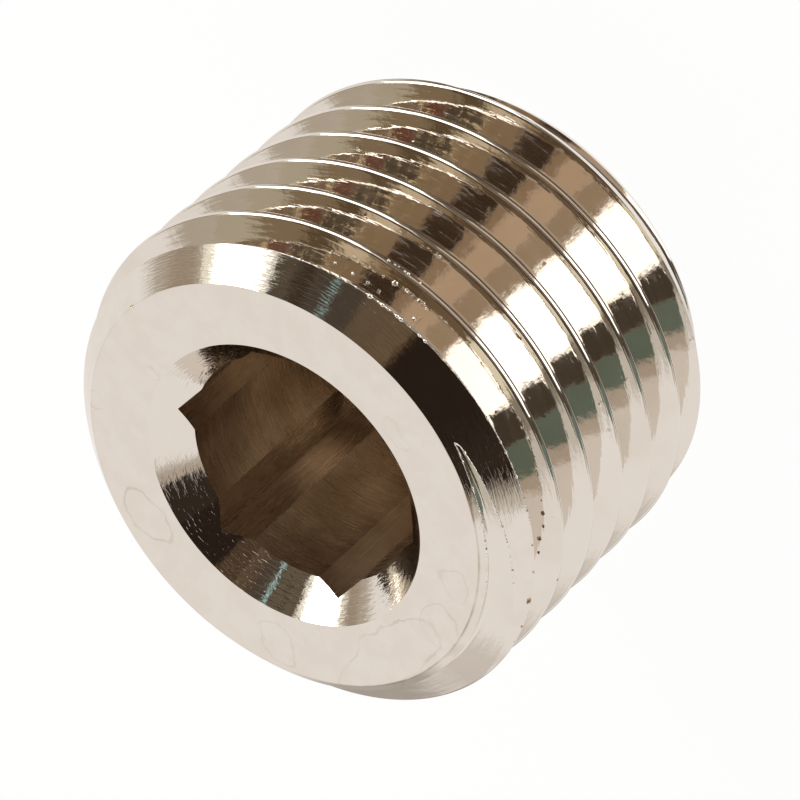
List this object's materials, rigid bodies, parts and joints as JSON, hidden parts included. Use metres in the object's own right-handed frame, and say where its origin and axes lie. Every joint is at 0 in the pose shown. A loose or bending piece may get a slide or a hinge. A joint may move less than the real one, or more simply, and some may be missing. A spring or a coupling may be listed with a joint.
{
  "type": "tapered pipe plug",
  "caption": "Short metal plug with a tapered pipe thread over its whole length, a chamfer at each end and a hexagon socket in the wide end.",
  "frame": {"origin": "centre of the small end face, which the plug stands on", "axes": "+Z along the plug's axis, out of the socket; one corner of the hexagon lies on -Y"},
  "size_m": [0.0133, 0.0133, 0.0097],
  "materials": {
    "plated_brass": "bright nickel plate over turned brass"
  },
  "bodies": {
    "root": {"plug_body": "plated_brass"}
  },
  "joints": []
}
